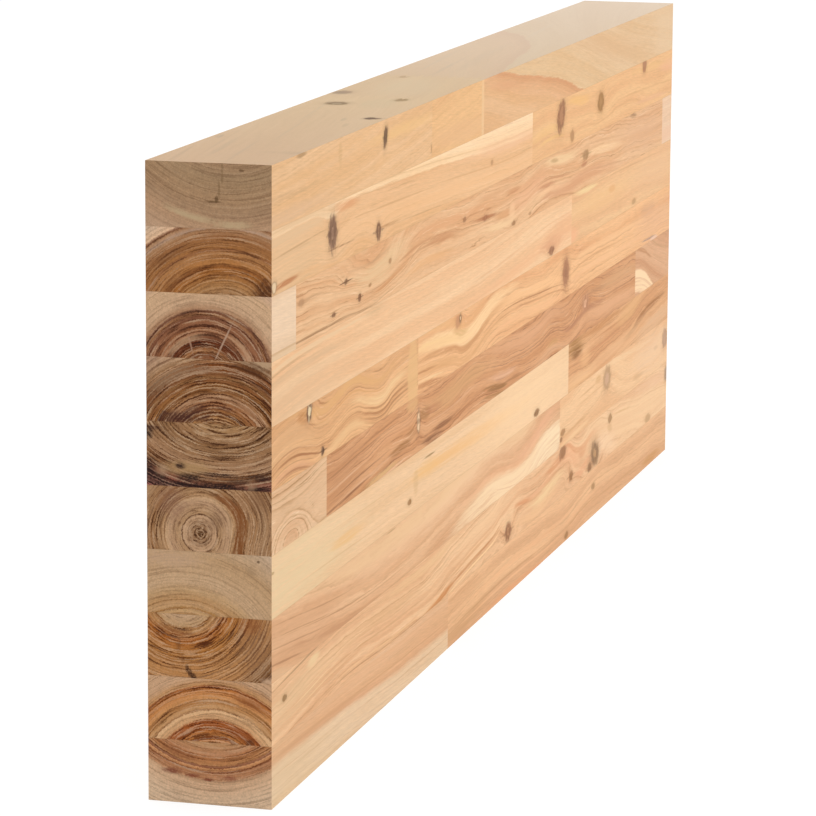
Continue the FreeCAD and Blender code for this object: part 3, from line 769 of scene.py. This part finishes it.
board("lamella_06_board_2", pith=(34, 236), seed=14, ring=3.0, wave=5, contrast=0.8,
      pale="#dea677", tan="#cf9362", line="#9c6238",
      flow=((0, 0), (119, 0), (200, 4), (320, 8), (420, 6), (520, 10), (600, 5), (700, 3),
            (750, 7), (800, 2), (865, 6), (930, 4), (1058, 1), (1200, -6)),
      side_streaks=[
          (150, 180, 50, 18, "#bf875c", 0.6, 0.7), (165, 164, 60, 0.91, "#94613c", 0.8),
          (190, 172, 60, 0.59, "#a06c44", 0.8), (170, 186, 80, 0.59, "#a8744c", 0.7),
          (240, 192, 80, 0.65, "#b27a50", 0.7), (298, 171, 28, 3.0, "#a6713f", 0.85, 0.3),
          (330, 176, 14, 3.4, "#b17c4c", 0.7), (245, 162, 34, 2, "#dcb47c", 0.8),
          (285, 184, 60, 3, "#dca274", 0.6), (328, 196, 14, 5, "#e0b07a", 0.8, 0.4),
          (362, 184, 16, 4, "#a97646", 0.8, 0.3), (386, 184, 22, 3, "#b87450", 0.7),
          (380, 163, 26, 2.6, "#8c5c3a", 0.8), (412, 167.5, 24, 2.2, "#925f3a", 0.85),
          (470, 168, 50, 0.72, "#b0764a", 0.8), (460, 187, 80, 7, "#d3a06c", 0.7, 0.7),
          (568, 166, 30, 2.0, "#9c6c3a", 0.9, 0.3), (552, 169.5, 26, 0.9, "#a3733f", 0.8),
          (590, 172, 30, 0.8, "#e9bd94", 0.8), (150, 176, 60, 0.7, "#e6b891", 0.7),
          (220, 168, 70, 0.7, "#e3b28a", 0.7), (440, 176, 80, 0.7, "#e3b28a", 0.6),
          (560, 161.5, 36, 1.6, "#a3733f", 0.7), (622, 165, 26, 0.85, "#b07a4c", 0.8),
          (585, 173, 40, 2.8, "#e3b08c", 0.6), (660, 180, 60, 0.59, "#b67e54", 0.7),
          (750, 181, 50, 0.72, "#b67e54", 0.8), (680, 190, 110, 6, "#e6b086", 0.6, 0.7),
          (750, 170.5, 16, 2.2, "#c9965c", 0.7), (740, 165, 60, 3, "#e3b288", 0.6),
          (825, 174.5, 36, 2.4, "#b9805a", 0.8), (895, 177.5, 40, 2.6, "#b9805a", 0.8),
          (905, 189, 40, 1.8, "#b98358", 0.75), (990, 178, 60, 0.59, "#bd865a", 0.8),
          (990, 188, 70, 5, "#dcac7e", 0.6, 0.7), (960, 168, 120, 6, "#e6b084", 0.6, 0.7)],
      knots=[
          side_knot(344, 181.5, 9, 17, "#7b4f2e", core="#ecc9a0", core_size=1.0, push=6, tail=2.4,
                    tail_strength=0.5),
          side_knot(864, 184.5, 26, 14, "#b98058", core="#eab894", core_size=0.5, push=7,
                    tail=2.2, tail_strength=0.4)])
board("lamella_06_board_3", pith=(34, 236), seed=15, ring=3.0, contrast=0.35, pale="#e1b188",
      tan="#d7a279", line="#bd8a60",
      end=far_end(2.8, 62.3, UMBER_RINGS),
      flow=((0, 0), (1058, 0), (1090, -5), (1125, -16), (1160, -26), (1200, -34)),
      side_streaks=[
          (1080, 170, 62, 10, "#fbd8ac", 1.0, 0.12), (1095, 183.5, 70, 2.4, "#c88f64", 0.8),
          (1088, 196, 34, 1.8, "#c0875a", 0.8), (1140, 196, 50, 0.78, "#c99a70", 0.6)])

# Lamella 7
# A long board of very pale sapwood and a brown one with dark streaks.
board("lamella_07_board_1", pith=(56, 84), oval=0.95, seed=16, ring=3.0, wave=1.5, contrast=0.18,
      end_contrast=0.85, pale="#f3cca1", tan="#ebc193", line="#d9b082",
      end=((34, "#ba834f"), (39.4, "#ddb17d"), (40, "#a97138"), (41, "#b6844a"),
           (41.8, "#d8aa7a"), (46, "#c59563"), (52, "#d1a87a"), (57, "#d7b189"), (75, "#cda57a"),
           (93, "#d5b799")),
      flow=((0, 0), (200, -2), (400, -5), (805, -9), (1200, -9)),
      side_streaks=[
          (40, 140, 120, 22, "#e9cfa2", 0.7, 0.8), (170, 137, 36, 3.6, "#edbd80", 0.7),
          (372, 144, 36, 5, "#f0c080", 0.7), (500, 142, 150, 5, "#f2be80", 0.75, 0.6),
          (680, 140, 140, 26, "#fdd8aa", 0.7, 0.8), (373, 152, 14, 0.59, "#94703c", 0.9),
          (338, 140, 6, 9, "#deb584", 0.6), (180, 129, 110, 0.52, "#dbb284", 0.5),
          (250, 147, 120, 0.52, "#e0b888", 0.5), (2, 149, 3, 0.91, "#a58454", 0.8)],
      end_streaks=[
          (13, 150, 3, 3, "#a58563", 0.5, 0.7), (8.5, 156, 1.0, 0.8, "#644b32", 0.8, 0.4),
          (66, 155, 20, 5, "#d6b294", 0.5, 0.7)],
      knots=[
          side_knot(322, 129, 11, 4.4, "#94682f", push=2, strength=0.85),
          side_knot(697, 124, 17, 6, "#8c6236", tail=1.6, tail_strength=0.4, push=3)])
board("lamella_07_board_2", pith=(30, 190), seed=17, ring=3.2, wave=4, contrast=0.5,
      pale="#e7b382", tan="#d89e6d", line="#ad7042",
      end=far_end(44, 97.8, HONEY_RINGS),
      flow=((0, 0), (805, 0), (950, 0), (1030, 1), (1100, 9), (1170, 13), (1200, 14)),
      side_streaks=[
          (828, 154, 30, 7, "#a87840", 0.95, 0.6), (834, 148, 16, 4.5, "#94622f", 0.85),
          (868, 139, 16, 6, "#efba84", 0.7), (930, 157, 90, 3, "#c88c56", 0.7),
          (850, 125, 60, 4.5, "#f0c08c", 0.8, 0.7), (960, 149, 60, 0.78, "#c98a58", 0.7),
          (920, 141, 60, 0.78, "#cf8f60", 0.7), (1060, 133.5, 40, 2.4, "#a56e40", 0.95),
          (1082, 138, 20, 3.2, "#aa7040", 0.9), (1120, 142, 50, 3.0, "#a46c3a", 0.95),
          (1040, 152, 50, 6, "#e3b078", 0.6), (1140, 126, 80, 7, "#e2b68c", 0.8, 0.7),
          (1020, 128, 90, 5, "#eab888", 0.7, 0.7)])

# Lamella 8
# Two pinkish tan boards, the near one sloping in its grain with pale wood coming up from
# below towards its joint.
board("lamella_08_board_1", pith=(57, 133), seed=18, ring=2.3, wave=2, contrast=0.3,
      end_contrast=1.32, pale="#ecbf93", tan="#dda97d", line="#b37c50",
      end=((12, "#d6b08b"), (20.6, "#cca173"), (21.6, "#a06834"), (24, "#d09a63"),
           (29, "#b76b29"), (33, "#bb7537"), (38, "#be7d3d"), (46, "#c38852"), (52, "#ca8f57"),
           (60, "#cd925b"), (75, "#825326")),
      flow=((0, 0), (60, -6), (120, -12), (200, -17), (300, -18), (400, -16), (470, -11),
            (540, -7), (570, -7), (600, -10), (640, -13), (680, -10), (720, -2), (779, 2),
            (1200, 2)),
      side_streaks=[
          (60, 98, 90, 16, "#d9a67c", 0.6, 0.8), (90, 107, 90, 0.52, "#ad774c", 0.45),
          (60, 102, 70, 0.47, "#ad774c", 0.45), (50, 96, 70, 0.47, "#a8744a", 0.52),
          (110, 116, 60, 0.47, "#b88458", 0.45), (30, 88, 40, 0.68, "#a06a40", 0.52),
          (12, 83, 30, 3, "#e3bd92", 0.7), (180, 91, 130, 0.47, "#b47c52", 0.52),
          (150, 83, 120, 2.6, "#c9946a", 0.7), (250, 87, 100, 0.42, "#c08a60", 0.45),
          (310, 105, 130, 8, "#ecc096", 0.7, 0.8), (430, 116, 310, 7.5, "#efc698", 0.95, 0.45),
          (275, 119, 11, 0.52, "#a07c48", 0.55), (470, 112, 150, 6, "#f3caa0", 0.6, 0.8),
          (600, 98, 130, 3.4, "#efb88c", 0.5, 0.6), (540, 104, 120, 0.52, "#dba378", 0.45),
          (560, 95, 150, 0.58, "#c98f60", 0.52), (630, 83, 180, 10, "#fbdcb2", 0.9, 0.3),
          (738, 89, 56, 13, "#fbe0b8", 0.9, 0.25), (700, 108, 60, 5, "#f0b78e", 0.6, 0.7)],
      end_streaks=[
          (54.5, 86, 1.2, 2.4, "#432414", 0.9, 0.4), (52.6, 83.5, 1.4, 2.4, "#432414", 0.9, 0.4),
          (50.4, 81, 1.6, 2.0, "#432414", 0.9, 0.4), (60, 100, 1.4, 4, "#794722", 0.6, 0.6),
          (57.5, 92, 1.2, 4, "#794722", 0.5, 0.6),
          (66, 108, 13, 7, "#8d4f27", 0.6, 0.6, (23, 27)), (8, 98, 12, 20, "#876247", 0.5, 0.8),
          (14, 116, 7, 5, "#965224", 0.5, 0.7), (1, 80, 5, 3, "#e4bc99", 0.8, 0.5)])
board("lamella_08_board_2", pith=(58, 150), seed=19, ring=3.6, wave=3, contrast=0.35,
      pale="#f3c899", tan="#ebba8a", line="#cf9c6c",
      end=far_end(24.1, 86.4, SAND_RINGS),
      flow=((0, 0), (779, 0), (860, 3), (950, 4), (1050, 0), (1200, -6)),
      side_streaks=[
          (830, 88.5, 45, 1.6, "#d7a472", 0.7), (835, 83, 50, 2, "#f6cf9e", 0.6),
          (918, 112, 10, 3, "#d9a871", 0.7), (880, 109.5, 40, 0.65, "#dcab7a", 0.7),
          (900, 104, 50, 0.65, "#dcab7a", 0.6), (1075, 88, 20, 2.6, "#d6a878", 0.7),
          (1150, 101, 9, 1.6, "#c4976c", 0.7), (1140, 100, 70, 16, "#f1caa4", 0.6, 0.8),
          (1010, 116, 90, 2.6, "#f8d3a6", 0.6)],
      knots=[
          side_knot(789, 91.5, 17, 5.5, "#a87843", push=2, strength=0.85),
          side_knot(783, 86.5, 9, 4, "#97683c", push=2, strength=0.85),
          side_knot(951, 107.5, 30, 22, "#b28b62", core="#c8a183", core_size=0.6, push=8,
                    strength=0.75),
          side_knot(1189, 103, 22, 18, "#a9846a", core="#b18d74", core_size=0.6, push=5,
                    strength=0.75)])

# Lamella 9
# One board over the whole length, tan at the near end, with swirling grain and most of
# the beam's knots towards the far end.
board("lamella_09_board_1", pith=(37, 14), seed=20, ring=2.7, wave=2.5, contrast=0.5,
      end_contrast=1.22, pale="#f3c99c", tan="#e4b184", line="#bf875a",
      end=((24, "#895838"), (28.4, "#d7853f"), (29, "#803c13"), (30.6, "#925426"),
           (31.4, "#d98d4b"), (34.4, "#af632a"), (35.4, "#803f15"), (36.4, "#b05d23"),
           (40.2, "#bc6a33"), (41, "#e2ab78"), (46.2, "#f1c290"), (47, "#a97346"),
           (48, "#d9a571"), (51.6, "#c1844b"), (53, "#b17948"), (54, "#dc9b60"),
           (60.6, "#d08242"), (62, "#af6837"), (63, "#d49d68"), (66, "#d29f72"), (68, "#daae87")),
      flow=((0, 0), (60, 4), (150, 9), (300, 5), (400, 5), (440, 9), (500, 14), (560, 18),
            (590, 24), (620, 26), (700, 22), (760, 26), (800, 28), (850, 16), (900, 22),
            (1000, 12), (1200, 0)),
      side_streaks=[
          (90, 73, 13, 3.4, "#f3d3a2", 0.85), (80, 79, 90, 0.65, "#a87a50", 0.7),
          (40, 60, 60, 12, "#e2bd90", 0.6, 0.8), (100, 57, 60, 0.45, "#f3cf9e", 0.8),
          (110, 53, 60, 0.45, "#f0c998", 0.8), (110, 61, 50, 0.45, "#f0c998", 0.7),
          (240, 55, 110, 0.78, "#cf9868", 0.6), (240, 65, 110, 5, "#dcab7a", 0.5, 0.8),
          (350, 74, 80, 3, "#f0c795", 0.7, 0.7), (250, 44.5, 130, 0.65, "#f0c592", 0.7),
          (270, 41.5, 140, 0.59, "#bb8456", 0.7), (405, 42, 34, 2.4, "#d18b4e", 0.85),
          (500, 50, 85, 0.85, "#c98a56", 0.8), (510, 46.5, 85, 0.78, "#fbd3a0", 0.85),
          (530, 60, 70, 0.78, "#fad0a0", 0.6), (500, 56, 90, 0.91, "#daa474", 0.6),
          (560, 72, 90, 5, "#f6cda0", 0.6, 0.8), (656, 61.5, 22, 1.8, "#d4874f", 0.6),
          (705, 60, 70, 3.2, "#e0a072", 0.5), (765, 70, 34, 3.0, "#dc9868", 0.7),
          (735, 55, 50, 5, "#f5d3a0", 0.85, 0.6), (700, 45, 70, 3.6, "#f2c492", 0.6),
          (815, 70, 34, 8, "#f3b68a", 0.7, 0.7), (835, 70, 34, 2.2, "#db9666", 0.85),
          (862, 64, 14, 5, "#db9668", 0.8), (890, 69, 26, 2.6, "#df9c6c", 0.8),
          (860, 48, 30, 4, "#eaab80", 0.6), (1010, 69.5, 34, 0.91, "#d09a60", 0.85),
          (1010, 62, 26, 2, "#e2ad80", 0.5), (1060, 58, 190, 18, "#f8d2a4", 0.65, 0.6),
          (950, 52, 34, 8, "#fad7b0", 0.7, 0.7), (965, 62, 9, 3, "#dcb07e", 0.6),
          (1150, 72, 70, 5, "#f3c8a0", 0.6)],
      end_streaks=[
          (10, 69, 12, 7, "#9b592e", 0.6, 0.6, (54, 62)),
          (18, 46, 9, 7, "#934f26", 0.6, 0.6, (33, 40)), (14, 41, 2.6, 2.6, "#542e1a", 0.8, 0.5)],
      knots=[
          side_knot(27, 64.5, 11, 4.4, "#8a6634", push=2, strength=0.85),
          side_knot(608, 48.5, 19, 15, "#8f5f3a", core="#c08c60", core_size=0.5, push=7, tail=2.5,
                    tail_strength=0.5),
          side_knot(789, 75, 25, 11, "#99683f", push=4, slant=0.3),
          side_knot(820, 50, 13, 9, "#976838", push=4, tail=3.0, tail_strength=0.4),
          side_knot(908, 52, 30, 21, "#80603f", core="#b98f62", core_size=0.45, push=8,
                    slant=-0.3, strength=0.85, halo=0.4),
          side_knot(888, 44, 16, 8, "#8c633a", push=4),
          side_knot(965, 71, 15, 8, "#a37c4c", push=3, strength=0.85),
          side_knot(1120, 43, 24, 8, "#c39a6c", push=3, strength=0.7),
          side_knot(1197, 70, 14, 14, "#9a8672", push=3, strength=0.8)])

# Lamella 10, the bottom one
# Two boards. The near one is sapwood below and heart above, the far one striped tan.
board("lamella_10_board_1", pith=(39, 85), oval=0.95, seed=21, ring=2.6, wave=1.0, contrast=0.32,
      end_contrast=1.05, pale="#edc094", tan="#e2b287", line="#bf8c60",
      layers=((44, "#e9be95"), (65, "#e8bb92"), (67.5, "#e2b28a"), (71, "#ebcba6"),
              (90, "#edd0ad")),
      end=((44, "#c59566"), (53, "#ca8e63"), (54.6, "#c07d4c"), (59.6, "#cb8e5b"),
           (60.4, "#95583a"), (61.4, "#945432"), (62, "#ebaa73"), (63.2, "#c48556"),
           (64, "#824728"), (65, "#c0845a"), (68.4, "#c88c61"), (70, "#e0b48c"), (85, "#efceab")),
      flow=((0, 0), (150, -4), (230, -7), (428, -12), (1200, -12)),
      side_streaks=[
          (20, 12, 110, 18, "#e0c196", 0.5, 0.7), (100, 28.5, 110, 2.4, "#d39f74", 0.7),
          (240, 36, 150, 2.2, "#e8b688", 0.6), (260, 24.5, 170, 0.52, "#cf9a6c", 0.6)],
      end_streaks=[
          (62, 31, 14, 6, "#8e5535", 0.6, 0.6, (54, 59)), (65, 20, 6, 1.8, "#7e3c2a", 0.8, 0.7),
          (51, 18, 4, 1.0, "#7e3c2a", 0.8, 0.6), (41, 16, 3, 0.9, "#7e3c2a", 0.8, 0.6),
          (27, 18, 4, 1.4, "#854131", 0.7, 0.7)])
board("lamella_10_board_2", pith=(41, 77), seed=22, ring=3.4, wave=3, contrast=0.35,
      pale="#efc091", tan="#e1af82", line="#bd8a5c",
      end=far_end(37, 87.2, RED_RINGS),
      flow=((0, 0), (428, 0), (600, 2), (800, 0), (870, 5), (1000, 3), (1200, 0)),
      side_streaks=[
          (460, 9, 60, 7, "#d0a070", 0.7, 0.7), (470, 34, 50, 2.4, "#d29c70", 0.6),
          (600, 14.5, 160, 0.65, "#cc986a", 0.7), (620, 10.5, 150, 0.91, "#f3c292", 0.7),
          (660, 22, 150, 2.4, "#efba8a", 0.6), (650, 2, 110, 2.2, "#e6a878", 0.8),
          (850, 13, 60, 0.91, "#cf9a68", 0.7), (860, 18, 60, 1.8, "#efbc8c", 0.6),
          (1135, 5, 34, 3.6, "#cb9352", 0.6), (1020, 10, 140, 0.78, "#d09c6c", 0.6)],
      knots=[
          side_knot(806, 4, 13, 6, "#a1713a", push=2, strength=0.85),
          side_knot(903, 25, 13, 5.5, "#ac8150", push=2, strength=0.8)])

# Floor and light
# A wide white studio floor that runs out of sight, soft white light all round, and two
# large soft lamps, one in front of the side face and one above.
def looked_at(tree):
    """1 where the camera sees a surface, straight or in metal or glass, and 0 for its light."""
    path = put(tree, "LightPath").outputs
    through = calc(tree, "MAXIMUM", path["Is Glossy Ray"], path["Is Transmission Ray"])
    return calc(tree, "MAXIMUM", path["Is Camera Ray"], through)


REACH = 40
corners = [(-REACH, -REACH, 0), (REACH, -REACH, 0), (REACH, REACH, 0), (-REACH, REACH, 0)]
floor_mesh = bpy.data.meshes.new("floor")
floor_mesh.from_pydata(corners, [], [(0, 1, 2, 3)])
floor = bpy.data.objects.new("floor", floor_mesh)
scene.collection.objects.link(floor)
floor_paint = bpy.data.materials.new("white floor")
floor_paint.use_nodes = True
tree = floor_paint.node_tree
tree.nodes.clear()
matt = put(tree, "BsdfDiffuse", (0.8, 0.8, 0.8, 1))
seen_matt = put(tree, "BsdfDiffuse", (0.3, 0.3, 0.3, 1))
glow = put(tree, "Emission", (1, 1, 1, 1), 0.8)
seen = put(tree, "AddShader", seen_matt.outputs[0], glow.outputs[0])
mixed = put(tree, "MixShader", looked_at(tree), matt.outputs[0], seen.outputs[0])
put(tree, "OutputMaterial", mixed.outputs[0])
floor_mesh.materials.append(floor_paint)

world = bpy.data.worlds.new("studio")
scene.world = world
world.use_nodes = True
tree = world.node_tree
tree.nodes.clear()
ambient = put(tree, "Background", (1, 1, 1, 1), 0.74)
white = put(tree, "Background", (1, 1, 1, 1), 1.0)
sky = put(tree, "MixShader", looked_at(tree), ambient.outputs[0], white.outputs[0])
put(tree, "OutputWorld", sky.outputs[0])


def lamp(name, place, target, size, power):
    data = bpy.data.lights.new(name, "AREA")
    data.shape = "SQUARE"
    data.size = size
    data.energy = power
    body = bpy.data.objects.new(name, data)
    aim = (Vector(target) - Vector(place)).to_track_quat("-Z", "Y")
    body.matrix_world = Matrix.Translation(place) @ aim.to_matrix().to_4x4()
    scene.collection.objects.link(body)


lamp("side lamp", (0.35, -3.0, 1.3), (0.1, 0.0, 0.2), 2.2, 34)
lamp("top lamp", (0.5, 0.6, 4.0), (0.0, 0.0, 0.3), 2.5, 26)

# Camera
# Low and to the left of the near end, looking along the beam.
right = Vector((0.26238, -0.96495, 0.00629))
down = Vector((-0.17560, -0.05415, -0.98297))
ahead = Vector((0.94885, 0.25680, -0.18365))
camera_data = bpy.data.cameras.new("camera")
camera_data.sensor_width = 36
camera_data.lens = 178.85
camera_data.clip_end = 200
camera = bpy.data.objects.new("camera", camera_data)
turn = Matrix((right, -down, -ahead)).transposed().to_4x4()
camera.matrix_world = Matrix.Translation((-2.90687, -0.74984, 0.70340)) @ turn
scene.collection.objects.link(camera)
scene.camera = camera
scene.view_settings.view_transform = "Standard"
